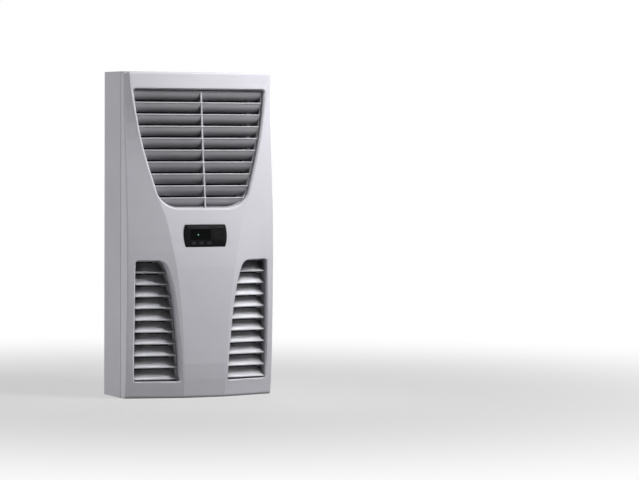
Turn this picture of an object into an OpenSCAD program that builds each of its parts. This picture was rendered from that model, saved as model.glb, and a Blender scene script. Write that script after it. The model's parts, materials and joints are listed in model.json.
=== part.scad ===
// Enclosure cooling unit for the wall of a control cabinet, in millimetres.
// X runs to the right as seen from the front, the front faces -Y and Z is up.
// The origin is the middle of the footprint, and the unit stands on z = 0.
// A depth is measured forwards from the rear face, which meets the cabinet wall.

/* [Casing] */
// Width over the casing
body_w = 268; // [252:1:290]
// Height over the casing
body_h = 550; // [530:1:580]
// Depth of the folded steel rear chassis
chassis_depth = 79; // [76:1:90]
// Sheet thickness of the rear chassis
sheet_t = 1.5; // [1:0.1:2]
// Thickness of the foam seal behind the chassis
gasket_t = 3; // [2:0.5:5]
// Shadow gap between chassis and front cover
seam_gap = 1.2; // [0.8:0.1:2]
// Width of the return lip round the mouth of the chassis
lip_w = 12; // [11:0.5:14]

/* [Front cover] */
// Rise of the side edge in front of the chassis at its highest
edge_rise = 32; // [28:0.5:34]
// Rise of the middle panel in front of the chassis at its highest
centre_rise = 53; // [50:0.5:60]
// Wall thickness of the moulded cover
cover_wall = 2.5; // [2:0.1:3]
// Radius along the upright front corners
corner_r = 3.5; // [2:0.5:5]
// Radius along the top and bottom front edges
end_r = 4; // [2:0.5:5]
// Half width of the soft line between middle panel and side facet
crease_soft = 1.4; // [0.8:0.1:2]

/* [Upper grille] */
// Distance of the opening from the side of the casing
grille_side = 14.5; // [14:0.5:20]
// Distance of the opening from the head of the casing
grille_head = 30; // [28:1:40]
// Height of the sill of the opening
grille_z = 320; // [318:1:322]
// Bevel round the opening
grille_bevel = 2.6; // [1.5:0.1:3]
// Number of blades
grille_blades = 10; // [8:1:11]
// Height that a curved blade falls from its nose towards the back
grille_blade_drop = 16; // [13:0.5:17]
// How far the blades lie behind the front panel
grille_recess = 6; // [5:0.5:8]

/* [Lower vents] */
// Distance of the outer side of a vent from the side of the casing
vent_side = 14; // [13:0.5:20]
// Distance of the foot of the inner side from the middle
vent_in_x = 41.6; // [40:0.1:44]
// Height of the sill of a vent
vent_z = 28.5; // [24:0.5:32]
// Height of a vent
vent_h = 203.5; // [190:0.5:206]
// Bevel round a vent
vent_bevel = 1.5; // [1:0.1:2]
// Number of blades in a vent
vent_blades = 10; // [8:1:11]
// Height that a curved vent blade climbs from its nose towards the back
vent_blade_rise = 15.4; // [14:0.2:16.4]

/* [Controller] */
// Width over the bulged ends of the controller
ctrl_w = 78.6; // [76:0.2:84]
// Height of the controller
ctrl_h = 37.6; // [36:0.2:40]
// Height of its middle above the foot of the unit
ctrl_z = 273.8; // [272:0.2:276]
// Travel of a key
key_travel = 0.8; // [0.4:0.1:1]

/* [Refrigeration] */
// Outside radius of the compressor shell
comp_r = 33; // [28:0.5:33.5]
// Height of the compressor shell
comp_h = 158; // [130:1:165]
// Outside radius of the refrigerant pipes
pipe_r = 3.2; // [2.5:0.1:4]
// Radius of the middle line of a pipe bend
bend_r = 9; // [7:0.5:10]
// Outer radius of the condenser fan wheel
cond_wheel_r = 76; // [68:1:84]
// Outer radius of the evaporator fan wheel
evap_wheel_r = 58; // [54:1:62]
// Width of both fan wheels
wheel_w = 30; // [26:0.5:32]
// Number of blades on a fan wheel
wheel_blades = 7; // [5:1:11]
// Radius of the fan shafts
shaft_r = 3; // [2.5:0.1:4]

/* [Hidden] */

$fn = 48;
over = 1;

// Colours as the photograph shows them
cover_colour = [0.80, 0.80, 0.83];
steel_colour = [0.72, 0.72, 0.75];
black_colour = [0.05, 0.05, 0.06];
rubber_colour = [0.12, 0.12, 0.12];
copper_colour = [0.75, 0.45, 0.30];
alloy_colour = [0.78, 0.79, 0.80];
board_colour = [0.10, 0.35, 0.22];
foam_colour = [0.16, 0.16, 0.17];
coil_colour = [0.10, 0.10, 0.11];

// Frame of the casing
half_w = body_w / 2;
seam_d = gasket_t + chassis_depth;
skirt_d = seam_d + seam_gap;
body_d = seam_d + centre_rise;
rear_y = body_d / 2;
wall_in_d = gasket_t + sheet_t;
inner_x = half_w - sheet_t;
rivet_inset = 22;
rivet_x = half_w - rivet_inset;

// Places of the refrigeration parts
hous_gap = 6.5;
hous_x = inner_x - hous_gap;
hous_low_z = 8;
hous_wall = 5;
hous_d = 56;
drier_r = 7.5;
valve_r = 8;
pipe_d = hous_d + max(drier_r, valve_r);
evap_low_z = 92;
evap_high_z = 152;
evap_inset = 22;
evap_x = hous_x - evap_inset;
evap_fan_gap = 5;
evap_fan_z = evap_high_z + evap_wheel_r + evap_fan_gap;
suct_rise = 5;
suct_z = evap_high_z + bend_r + suct_rise;
valve_low_z = 78;
valve_high_z = 100;
feed_drop = 3;
feed_slack = 2;
feed_z = valve_low_z - bend_r - feed_drop;
feed_x = evap_x - 2 * bend_r - feed_slack;
hous_head = 8;
hous_high_z = evap_fan_z + evap_wheel_r + hous_head + hous_wall;
shroud_rise = 32;
shroud_low_z = hous_high_z + shroud_rise;
coil_rise = 4;
cond_low_z = shroud_low_z + coil_rise;
cond_head = 30;
cond_high_z = body_h - cond_head;
cond_inset = 26;
cond_x = half_w - cond_inset;
cond_fan_rise = 4;
cond_fan_z = (cond_low_z + cond_high_z) / 2 + cond_fan_rise;
turn_drop = 22;
turn_z = cond_low_z - turn_drop;

// Rise of the side edge, as [height share, share of edge_rise]
edge_shares = [[0, 0.68], [0.06, 0.79], [0.18, 0.92], [0.42, 1], [0.55, 0.945],
  [0.67, 0.81], [0.79, 0.63], [0.9, 0.49], [1, 0.47]];
// Rise of the middle panel, as [height share, share of centre_rise]
centre_shares = [[0, 0.87], [0.11, 1], [0.38, 1], [0.45, 0.965], [0.52, 0.895],
  [0.66, 0.715], [0.8, 0.55], [0.94, 0.42], [1, 0.365]];
// Half width of the middle panel, as [height share, share of half_w]
crease_shares = [[0, 0.287], [0.145, 0.304], [0.29, 0.345], [0.436, 0.433],
  [0.5, 0.481], [0.555, 0.53], [0.6, 0.6], [0.655, 0.687], [0.727, 0.772],
  [0.8, 0.843], [0.873, 0.896], [0.936, 0.935], [1, 0.955]];
// Right half of the upper opening from sill to head, as shares of its half width and height
grille_shares = [[0.4, 0], [0.48, 0.012], [0.58, 0.042], [0.68, 0.11], [0.725, 0.2],
  [0.824, 0.4], [0.904, 0.6], [0.96, 0.8], [0.99, 0.95]];
// Inner side of a vent from head to foot, as shares of its width and height
vent_shares = [[0.49, 1], [0.381, 0.978], [0.298, 0.916], [0.209, 0.784],
  [0.136, 0.622], [0.074, 0.41], [0.033, 0.253], [0.012, 0.125], [0, 0.02]];

// Monotone curve through the points of a share table
function secant(p, i) = (p[i + 1][1] - p[i][1]) / (p[i + 1][0] - p[i][0]);
function slope_of(a, b) = a * b <= 0 ? 0 : 2 * a * b / (a + b);
function tangent(p, i) =
  i == 0 ? secant(p, 0)
  : i == len(p) - 1 ? secant(p, i - 1)
  : slope_of(secant(p, i - 1), secant(p, i));
function span_of(p, t, i = 0) =
  i >= len(p) - 2 || p[i + 1][0] >= t ? i : span_of(p, t, i + 1);
function hermite(y0, y1, m0, m1, s) =
  y0 * (1 + 2 * s) * (1 - s) * (1 - s) + m0 * s * (1 - s) * (1 - s)
  + y1 * s * s * (3 - 2 * s) + m1 * s * s * (s - 1);
function curve(p, t) =
  let (i = span_of(p, t), w = p[i + 1][0] - p[i][0], s = (t - p[i][0]) / w)
  hermite(p[i][1], p[i + 1][1], tangent(p, i) * w, tangent(p, i + 1) * w, s);

// Smooth line through plane points, with steps pieces to each span
function line_tangent(p, i) =
  i == 0 ? p[1] - p[0]
  : i == len(p) - 1 ? p[i] - p[i - 1]
  : (p[i + 1] - p[i - 1]) / 2;
function smooth(p, steps) = concat(
  [for (i = [0 : len(p) - 2], k = [0 : steps - 1])
    hermite(p[i], p[i + 1], line_tangent(p, i), line_tangent(p, i + 1), k / steps)],
  [p[len(p) - 1]]);

// Points of an arc from angle a to angle b
function arc(c, r, a, b, steps) =
  [for (k = [0 : steps]) let (t = a + (b - a) * k / steps) c + r * [cos(t), sin(t)]];

// A closed outline moved outwards by g, for outlines that run anticlockwise
function unit(v) = v / norm(v);
function outward(a, b) = let (u = unit(b - a)) [u[1], -u[0]];
function grown(p, g) = [for (i = [0 : len(p) - 1])
  let (
    a = p[(i + len(p) - 1) % len(p)],
    c = p[(i + 1) % len(p)],
    n = outward(a, p[i]),
    m = outward(p[i], c)
  )
  p[i] + (n + m) * g / (1 + n * m)];
function flipped(p) = [for (i = [len(p) - 1 : -1 : 0]) [-p[i][0], p[i][1]]];

// The moulded front surface
function y_of(d) = rear_y - d;
function edge_d(z) = seam_d + edge_rise * curve(edge_shares, z / body_h);
function centre_d(z) = seam_d + centre_rise * curve(centre_shares, z / body_h);
function crease_x(z) = half_w * curve(crease_shares, z / body_h);
function surface_d(x, z) =
  let (w = crease_x(z), k = (abs(x) - w) / (half_w - corner_r - w))
  centre_d(z) + (edge_d(z) - centre_d(z)) * max(0, min(1, k));

// One level section of the cover, left rear corner first, pulled in by t in depth
end_side_share = 0.3;
corner_steps = 3;
function section_half(z, t) =
  let (
    w = half_w - t * end_side_share,
    e = edge_d(z) - t,
    c = centre_d(z) - t,
    fold = min(crease_x(z), w - corner_r - 2 * crease_soft),
    k = 2 * crease_soft / (w - corner_r - fold + crease_soft)
  )
  concat(
    [[w, skirt_d]],
    [for (a = [0 : corner_steps]) let (t = 90 * a / corner_steps)
      [w - corner_r * (1 - cos(t)), e - corner_r * (1 - sin(t))]],
    [[fold + crease_soft, c + (e - c) * k], [fold - crease_soft, c]]);
function section(z, t) =
  let (half = section_half(z, t))
  concat(
    [for (p = half) [-p[0], y_of(p[1]), z]],
    [for (i = [len(half) - 1 : -1 : 0]) [half[i][0], y_of(half[i][1]), z]]);
function hollow_half(z) =
  [[half_w - cover_wall, skirt_d - over],
    [half_w - cover_wall, edge_d(z) - cover_wall],
    [crease_x(z), centre_d(z) - cover_wall]];
function hollow_section(z, z_at) =
  let (half = hollow_half(z))
  concat(
    [for (p = half) [-p[0], y_of(p[1]), z_at]],
    [for (i = [len(half) - 1 : -1 : 0]) [half[i][0], y_of(half[i][1]), z_at]]);

// A solid through rings of equal count, anticlockwise as seen from the last ring
module loft(rings) {
  n = len(rings[0]);
  m = len(rings);
  polyhedron(
    points = [for (r = rings) each r],
    faces = concat(
      [[for (j = [0 : n - 1]) j]],
      [[for (j = [n - 1 : -1 : 0]) (m - 1) * n + j]],
      [for (i = [0 : m - 2], j = [0 : n - 1])
        let (a = i * n + j, b = i * n + (j + 1) % n) [a, b + n, b]],
      [for (i = [0 : m - 2], j = [0 : n - 1])
        let (a = i * n + j, b = i * n + (j + 1) % n) [a, a + n, b + n]]));
}

// Shapes placed by depth from the rear face
module block(x0, x1, d0, d1, z0, z1) {
  translate([x0, y_of(d1), z0])
    cube([x1 - x0, d1 - d0, z1 - z0]);
}
module rod_y(x, z, d0, d1, r) {
  translate([x, y_of(d0), z])
    rotate([90, 0, 0])
      cylinder(r = r, h = d1 - d0);
}
module rod_z(x, d, z0, z1, r) {
  translate([x, y_of(d), z0])
    cylinder(r = r, h = z1 - z0);
}
module plate(d0, d1) {
  translate([0, y_of(d0), 0])
    rotate([90, 0, 0])
      linear_extrude(height = d1 - d0)
        children();
}
// A profile of [-depth, height] points drawn out along X
module along_x(x0, x1) {
  translate([x0, rear_y, 0])
    rotate([90, 0, 90])
      linear_extrude(height = x1 - x0)
        children();
}
module both_sides() {
  children();
  mirror([1, 0, 0])
    children();
}
module four_corners(x, z0, z1) {
  for (sx = [-x, x], z = [z0, z1])
    translate([sx, 0, z])
      children();
}

// Outline of the upper opening, anticlockwise from the left of the sill
head_r = 4;
curve_steps = 2;
arc_steps = 3;
grille_w = body_w - 2 * grille_side;
grille_h = body_h - grille_head - grille_z;
grille_top_z = grille_z + grille_h;
function grille_half() =
  let (
    side = smooth([for (s = grille_shares) [s[0] * grille_w / 2, grille_z + s[1] * grille_h]], curve_steps),
    top = arc([grille_w / 2 - head_r, grille_top_z - head_r], head_r, 0, 90, arc_steps)
  )
  concat(side, top);
function grille_outline() = concat(grille_half(), flipped(grille_half()));

// Outline of the right vent, anticlockwise from the foot of its inner side
vent_out_x = half_w - vent_side;
vent_w = vent_out_x - vent_in_x;
vent_top_z = vent_z + vent_h;
vent_r = 4;
function vent_outline() =
  let (inner = [for (s = vent_shares) [vent_in_x + s[0] * vent_w, vent_z + s[1] * vent_h]])
  concat(
    arc([vent_in_x + vent_r, vent_z + vent_r], vent_r, 200, 270, arc_steps),
    arc([vent_out_x - vent_r, vent_z + vent_r], vent_r, 270, 360, arc_steps),
    arc([vent_out_x - vent_r, vent_top_z - vent_r], vent_r, 0, 90, arc_steps),
    smooth(inner, curve_steps));
// The draft of the inner side draws the outline in towards the outer side
vent_draft_share = 0.03;
function vent_throat() = [for (p = vent_outline())
  [vent_out_x - (vent_out_x - p[0]) * (1 - vent_draft_share), p[1]]];

// Depths of the wells behind the openings
grille_well_gap = 4;
vent_well_gap = 2;
vent_seat_run = 25;
grille_well_d = skirt_d + grille_well_gap;
vent_well_d = skirt_d + vent_well_gap;
vent_seat_d = seam_d + vent_seat_run;

function ring_at(outline, d) = [for (p = outline) [p[0], y_of(d), p[1]]];
function ring_on(outline, rise) = [for (p = outline)
  [p[0], y_of(surface_d(p[0], p[1]) + rise), p[1]]];

module grille_cut() {
  loft([
    ring_at(grille_outline(), grille_well_d - over),
    ring_on(grille_outline(), -grille_bevel),
    ring_on(grown(grille_outline(), grille_bevel + over), over),
    ring_at(grown(grille_outline(), grille_bevel + over), body_d + over)]);
}
module vent_cut() {
  loft([
    ring_at(vent_throat(), vent_well_d - over),
    ring_at(vent_throat(), vent_seat_d),
    ring_on(vent_outline(), -vent_bevel),
    ring_on(grown(vent_outline(), vent_bevel + over), over),
    ring_at(grown(vent_outline(), vent_bevel + over), body_d + over)]);
}

// Studs that carry the cover on the lip of the chassis
stud_inset = 8.5;
stud_end = 14;
stud_x = half_w - stud_inset;
stud_low_z = stud_end;
stud_high_z = body_h - stud_end;
stud_r = 2;
stud_collar_r = 4;
stud_fit = 0.1;
boss_r = 4;
collar_h = 4;
boss_d = seam_d + collar_h;
nut_h = 3;
nut_r = 3.6;

// Outline of the controller, with bulged ends
ctrl_sag = 3.2;
ctrl_slope_head = 6.2;
ctrl_slope_side = 6.5;
ctrl_slope_foot = 10.2;
ctrl_arc_r = (ctrl_h * ctrl_h / 4 + ctrl_sag * ctrl_sag) / (2 * ctrl_sag);
ctrl_arc_a = asin(ctrl_h / 2 / ctrl_arc_r);
ctrl_steps = 8;
ctrl_fit = 0.25;
function ctrl_outline() =
  let (right = arc([ctrl_w / 2 - ctrl_arc_r, ctrl_z], ctrl_arc_r, -ctrl_arc_a, ctrl_arc_a, ctrl_steps))
  concat(right, flipped(right));
// The flat face inside its sloping margins
function ctrl_face_outline() =
  let (
    z0 = ctrl_z - ctrl_h / 2,
    w = (ctrl_w - 2 * ctrl_slope_side) / ctrl_w,
    h = (ctrl_h - ctrl_slope_head - ctrl_slope_foot) / ctrl_h
  )
  [for (p = ctrl_outline()) [p[0] * w, z0 + ctrl_slope_foot + (p[1] - z0) * h]];

cover_steps = 20;
end_steps = 3;
module cover_body() {
  loft(concat(
    [for (k = [0 : end_steps - 1]) let (a = 90 - 90 * k / end_steps)
      section(end_r * (1 - sin(a)), end_r * (1 - cos(a)))],
    [for (k = [0 : cover_steps])
      section(end_r + (body_h - 2 * end_r) * k / cover_steps, 0)],
    [for (k = [1 : end_steps]) let (a = 90 * k / end_steps)
      section(body_h - end_r * (1 - sin(a)), end_r * (1 - cos(a)))]));
}
module cover_hollow() {
  loft([for (k = [0 : cover_steps])
    let (z = end_r + (body_h - 2 * end_r) * k / cover_steps)
    hollow_section(z, k == 0 ? cover_wall : k == cover_steps ? body_h - cover_wall : z)]);
}
module front_cover() {
  color(cover_colour)
    difference() {
      cover_body();
      difference() {
        cover_hollow();
        plate(grille_well_d, body_d + over)
          polygon(grown(grille_outline(), cover_wall));
        both_sides()
          plate(vent_well_d, body_d + over)
            polygon(grown(vent_outline(), cover_wall));
        four_corners(stud_x, stud_low_z, stud_high_z)
          rod_y(0, 0, boss_d, body_d + over, boss_r);
      }
      grille_cut();
      both_sides()
        vent_cut();
      plate(seam_d, body_d + over)
        polygon(grown(ctrl_outline(), ctrl_fit));
      four_corners(stud_x, stud_low_z, stud_high_z)
        rod_y(0, 0, boss_d - over, boss_d + boss_r * 2, stud_r + stud_fit);
    }
}
module cover_studs() {
  color(steel_colour)
    four_corners(stud_x, stud_low_z, stud_high_z) {
      rod_y(0, 0, seam_d, boss_d, stud_collar_r);
      rod_y(0, 0, seam_d - sheet_t - nut_h, boss_d + boss_r, stud_r);
      rod_y(0, 0, seam_d - sheet_t - nut_h, seam_d - sheet_t, nut_r);
    }
}

// Foam seals behind the chassis and in the shadow gap
gasket_w = 10;
gasket_inset = 4;
seal_w = 3;
seal_inset = 1.2;
module frame(w, h, band, d0, d1) {
  difference() {
    block(-w / 2, w / 2, d0, d1, (body_h - h) / 2, (body_h + h) / 2);
    block(-w / 2 + band, w / 2 - band, d0 - over, d1 + over,
      (body_h - h) / 2 + band, (body_h + h) / 2 - band);
  }
}
module rear_gasket() {
  color(rubber_colour)
    frame(body_w - 2 * gasket_inset, body_h - 2 * gasket_inset, gasket_w, 0, gasket_t);
}
module cover_seal() {
  color(rubber_colour)
    frame(body_w - 2 * seal_inset, body_h - 2 * seal_inset, seal_w, seam_d, skirt_d);
}

// Rear chassis, folded from sheet, with its ports
fold_r = 2.5;
rivet_end = 40;
rivet_low_z = rivet_end;
rivet_high_z = body_h - rivet_end;
rivet_r = 4.5;
rivet_flange_r = 6;
rivet_flange_t = 1;
rivet_l = 14;
m6_r = 2.5;
outlet_inset = 17;
outlet_w = 2 * (rivet_x - outlet_inset);
outlet_h = 44;
outlet_z = 32;
outlet_r = 5;
inlet_margin = 1.24;
evap_inlet_r = wheel_inlet_r(evap_wheel_r) + inlet_margin;
drain_d = 28;
drain_port_r = 12;
conn_inset = 24;
conn_rise = 14;
conn_x = rivet_x - conn_inset;
conn_z = hous_high_z + conn_rise;
conn_w = 46;
conn_h = 16;
module rounded(w, h, r) {
  square([w - 2 * r, h], center = true);
  square([w, h - 2 * r], center = true);
  for (sx = [-1, 1], sz = [-1, 1])
    translate([sx * (w / 2 - r), sz * (h / 2 - r)])
      circle(r = r);
}
module rear_chassis() {
  color(steel_colour)
    difference() {
      union() {
        block(-half_w, half_w, gasket_t + fold_r, seam_d, 0, body_h);
        block(-half_w + fold_r, half_w - fold_r, gasket_t, seam_d, 0, body_h);
        for (sx = [-1, 1])
          rod_z(sx * (half_w - fold_r), gasket_t + fold_r, 0, body_h, fold_r);
      }
      block(-inner_x, inner_x, wall_in_d, seam_d - sheet_t, sheet_t, body_h - sheet_t);
      block(-half_w + lip_w, half_w - lip_w, seam_d - sheet_t - over, seam_d + over,
        lip_w, body_h - lip_w);
      plate(0, wall_in_d + over)
        translate([0, outlet_z + outlet_h / 2])
          rounded(outlet_w, outlet_h, outlet_r);
      rod_y(0, evap_fan_z, 0, wall_in_d + over, evap_inlet_r);
      four_corners(rivet_x, rivet_low_z, rivet_high_z)
        rod_y(0, 0, 0, wall_in_d + over, rivet_r);
      four_corners(stud_x, stud_low_z, stud_high_z)
        rod_y(0, 0, seam_d - sheet_t - over, seam_d + over, stud_r + stud_fit);
      rod_z(0, drain_d, -over, sheet_t + over, drain_port_r);
      plate(0, wall_in_d + over)
        translate([conn_x, conn_z])
          square([conn_w, conn_h], center = true);
    }
}
module rivet_nuts() {
  color(alloy_colour)
    four_corners(rivet_x, rivet_low_z, rivet_high_z)
      difference() {
        union() {
          rod_y(0, 0, gasket_t, gasket_t + rivet_l, rivet_r);
          rod_y(0, 0, gasket_t - rivet_flange_t, gasket_t, rivet_flange_r);
        }
        rod_y(0, 0, 0, gasket_t + rivet_l + over, m6_r);
      }
}

// Curved slat behind a rounded nose that touches depth d at height z. The slat climbs by rise
// towards the back, or falls where rise is negative, and turns from angle a to angle b.
slat_t = 1.8;
slat_set = 0.5;
slat_steps = 6;
nose_r = 1.3;
module slat_section(d, z, rise, a, b) {
  r = abs(rise / (cos(a) - cos(b)));
  up = rise < 0 ? -1 : 1;
  turns = [for (k = [0 : slat_steps]) a + (b - a) * k / slat_steps];
  face = [for (w = turns) [r * abs(sin(w) - sin(a)) - slat_set, up * r * abs(cos(w) - cos(a))]];
  back = [for (k = [slat_steps : -1 : 0]) face[k] + slat_t * [sin(turns[k]), -up * cos(turns[k])]];
  translate([nose_r - d, z])
    union() {
      circle(r = nose_r);
      polygon(up < 0 ? concat(back, face) : concat(face, back));
    }
}

// Upper grille: frame, slats and mullion that follow the crown of the panel
insert_fit = 0.3;
insert_t = 1.8;
frame_set = 4;
grille_back_gap = 1;
grille_back_d = skirt_d + grille_back_gap;
grille_slat_from = 75;
grille_slat_to = 40;
mullion_x = 5.5;
mullion_w = 2.6;
mullion_set = 0.9;
mullion_run = 12;
profile_steps = 16;
grille_pitch = grille_h / grille_blades;
grille_first_share = 0.85;
grille_row_share = 1.005;
module crown_profile(drop) {
  z0 = grille_z - over;
  z1 = grille_top_z + over;
  polygon(concat(
    [[-grille_back_d, z1], [-grille_back_d, z0]],
    [for (k = [0 : profile_steps]) let (z = z0 + (z1 - z0) * k / profile_steps)
      [drop - centre_d(z), z]]));
}
module upper_grille() {
  inner = grown(grille_outline(), -insert_fit - insert_t);
  color(cover_colour)
    union() {
      intersection() {
        plate(grille_back_d, body_d)
          difference() {
            polygon(grown(grille_outline(), -insert_fit));
            polygon(inner);
          }
        along_x(-grille_w / 2, grille_w / 2)
          crown_profile(grille_recess + frame_set);
      }
      intersection() {
        union() {
          along_x(-grille_w / 2, grille_w / 2)
            for (k = [0 : grille_blades - 1])
              let (z = grille_z + (grille_first_share + k * grille_row_share) * grille_pitch)
                slat_section(centre_d(z) - grille_recess, z, -grille_blade_drop,
                  grille_slat_from, grille_slat_to);
          difference() {
            along_x(mullion_x - mullion_w / 2, mullion_x + mullion_w / 2)
              crown_profile(grille_recess + mullion_set);
            along_x(-grille_w / 2, grille_w / 2)
              crown_profile(grille_recess + mullion_run);
          }
        }
        plate(grille_back_d, body_d)
          polygon(grown(inner, insert_t / 2));
      }
    }
}

// Vent inserts: a frame in the well with slats that lie along the side facet
vent_back_gap = 3;
vent_back_d = skirt_d + vent_back_gap;
vent_nose_run = 25.5;
vent_nose_d = seam_d + vent_nose_run;
vent_turn = 9;
vent_slat_from = 25;
vent_slat_to = 72;
vent_row_share = 0.983;
vent_first_share = 0.19;
vent_pitch = vent_h * vent_row_share / vent_blades;
module on_facet() {
  translate([vent_out_x, y_of(vent_nose_d), 0])
    rotate([0, 0, vent_turn])
      children();
}
module vent_insert() {
  inner = grown(vent_throat(), -insert_fit - insert_t);
  reach = 2 * vent_w;
  union() {
    intersection() {
      plate(vent_back_d, body_d)
        difference() {
          polygon(grown(vent_throat(), -insert_fit));
          polygon(inner);
        }
      on_facet()
        translate([-reach, frame_set, 0])
          cube([2 * reach, reach, vent_top_z + over]);
    }
    intersection() {
      on_facet()
        rotate([90, 0, 90])
          translate([0, 0, -reach])
            linear_extrude(height = 2 * reach)
              for (k = [0 : vent_blades - 1])
                slat_section(0, vent_z + (vent_first_share + k) * vent_pitch, vent_blade_rise,
                  vent_slat_from, vent_slat_to);
      plate(vent_back_d, body_d)
        polygon(grown(inner, insert_t / 2));
    }
  }
}
module right_vent() {
  color(cover_colour)
    vent_insert();
}
module left_vent() {
  color(cover_colour)
    mirror([1, 0, 0])
      vent_insert();
}

// Controller in the middle panel
ctrl_proud = 3.6;
ctrl_face_d = centre_d(ctrl_z) + ctrl_proud;
ctrl_bevel = 2.8;
ctrl_wall = 2.4;
ctrl_front_t = 4;
ctrl_run = 22;
ctrl_back_d = ctrl_face_d - ctrl_run;
ctrl_flange_w = 3;
ctrl_flange_t = 1.6;
ctrl_flange_gap = 0.4;
ctrl_flange_d = centre_d(ctrl_z + ctrl_h / 2 + ctrl_flange_w) - cover_wall - ctrl_flange_gap;
window_x = -10;
window_rise = 2;
window_z = ctrl_z + window_rise;
window_w = 37.4;
window_h = 18.5;
window_t = 1.4;
window_fit = 0.15;
window_ledge = 1.2;
led_x = -14.1;
led_r = 1.3;
board_t = 1.6;
board_set = 12;
board_d = ctrl_face_d - board_set;
key_w = 8;
key_h = 4.4;
key_drop = 12;
key_z = ctrl_z - key_drop;
key_xs = [-22, -8, 6];
key_fit = 0.15;
key_proud = 0.2;
key_skirt = 0.8;
key_skirt_t = 1;
key_stem_r = 1.2;
module ctrl_block(d0, d1) {
  plate(d0, d1)
    polygon(ctrl_outline());
}
module controller_housing() {
  color(black_colour)
    difference() {
      union() {
        ctrl_block(ctrl_back_d, ctrl_face_d - ctrl_bevel);
        hull() {
          ctrl_block(ctrl_face_d - ctrl_bevel - over, ctrl_face_d - ctrl_bevel);
          plate(ctrl_face_d - over, ctrl_face_d)
            polygon(ctrl_face_outline());
        }
        plate(ctrl_flange_d - ctrl_flange_t, ctrl_flange_d)
          polygon(grown(ctrl_outline(), ctrl_flange_w));
      }
      plate(ctrl_back_d - over, ctrl_face_d - ctrl_front_t)
        polygon(grown(ctrl_outline(), -ctrl_wall));
      plate(ctrl_face_d - window_t, ctrl_face_d + over)
        translate([window_x, window_z])
          square([window_w, window_h], center = true);
      plate(ctrl_face_d - ctrl_front_t - over, ctrl_face_d)
        translate([window_x, window_z])
          square([window_w - 2 * window_ledge, window_h - 2 * window_ledge], center = true);
      for (x = key_xs)
        plate(ctrl_face_d - ctrl_front_t - over, ctrl_face_d + over)
          translate([x, key_z])
            square([key_w, key_h], center = true);
    }
}
module display_window() {
  color(black_colour)
    difference() {
      plate(ctrl_face_d - window_t, ctrl_face_d)
        translate([window_x, window_z])
          square([window_w - 2 * window_fit, window_h - 2 * window_fit], center = true);
      rod_y(led_x, window_z, ctrl_face_d - window_t - over, ctrl_face_d + over, led_r + window_fit);
    }
}
module status_led() {
  color([0.45, 0.85, 0.6])
    rod_y(led_x, window_z, board_d, ctrl_face_d, led_r);
}
module controller_board() {
  color(board_colour)
    plate(board_d - board_t, board_d)
      polygon(grown(ctrl_outline(), -ctrl_wall - window_fit));
}
module key(x) {
  color(rubber_colour)
    union() {
      block(x - key_w / 2 + key_fit, x + key_w / 2 - key_fit,
        ctrl_face_d - ctrl_front_t - key_skirt_t, ctrl_face_d + key_proud,
        key_z - key_h / 2 + key_fit, key_z + key_h / 2 - key_fit);
      block(x - key_w / 2 - key_skirt, x + key_w / 2 + key_skirt,
        ctrl_face_d - ctrl_front_t - key_skirt_t - key_fit,
        ctrl_face_d - ctrl_front_t - key_fit,
        key_z - key_h / 2 - key_skirt, key_z + key_h / 2 + key_skirt);
      rod_y(x, key_z, board_d + key_travel + key_fit,
        ctrl_face_d - ctrl_front_t - key_skirt_t, key_stem_r);
    }
}
module key_left() { key(key_xs[0]); }
module key_middle() { key(key_xs[1]); }
module key_right() { key(key_xs[2]); }

// Radial fans: a wheel with backward curved blades on an external rotor motor
plate_t = 1.6;
blade_t = 1.4;
blade_sweep = 48;
blade_steps = 7;
rotor_r = 27;
rotor_wall = 2;
rotor_h = 22;
rotor_gap = 0.6;
shaft_l = 14;
shaft_fit = 0.05;
motor_standoff = 7.5;
motor_flange_r = 36;
motor_flange_t = 2;
wheel_inlet_gap = 2;
function wheel_inlet_r(r) = r * 0.72;
function wheel_blade(r0, r1) = concat(
  [for (k = [0 : blade_steps]) let (s = k / blade_steps, r = r0 + (r1 - r0) * s, a = -blade_sweep * s)
    r * [cos(a), sin(a)]],
  [for (k = [blade_steps : -1 : 0])
    let (s = k / blade_steps, r = r0 + (r1 - r0) * s, a = -blade_sweep * s + blade_t / r * 180 / PI)
    r * [cos(a), sin(a)]]);
module ring(r0, r1, h) {
  difference() {
    cylinder(r = r1, h = h);
    translate([0, 0, -over])
      cylinder(r = r0, h = h + 2 * over);
  }
}
module fan_wheel(r) {
  inlet = wheel_inlet_r(r);
  ring(rotor_r, r, plate_t);
  ring(rotor_r, rotor_r + rotor_wall, rotor_h);
  translate([0, 0, rotor_h - rotor_wall])
    cylinder(r = rotor_r + rotor_wall, h = rotor_wall);
  translate([0, 0, rotor_h - rotor_wall - shaft_l])
    cylinder(r = shaft_r, h = shaft_l + rotor_wall / 2);
  translate([0, 0, wheel_w - plate_t])
    ring(inlet, r, plate_t);
  for (k = [0 : wheel_blades - 1])
    rotate(k * 360 / wheel_blades)
      translate([0, 0, plate_t / 2])
        linear_extrude(height = wheel_w - plate_t)
          polygon(wheel_blade(inlet + blade_t, r - blade_t / 2));
}
module fan_motor() {
  difference() {
    union() {
      translate([0, 0, -motor_standoff])
        cylinder(r = motor_flange_r, h = motor_flange_t);
      translate([0, 0, -motor_standoff])
        cylinder(r = rotor_r - rotor_gap, h = motor_standoff + rotor_h - rotor_wall - rotor_gap);
    }
    translate([0, 0, rotor_h - rotor_wall - shaft_l - rotor_gap])
      cylinder(r = shaft_r + shaft_fit, h = shaft_l + over);
  }
}
module facing(d, z, side) {
  translate([0, y_of(d), z])
    rotate([90 * side, 0, 0])
      children();
}

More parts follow.
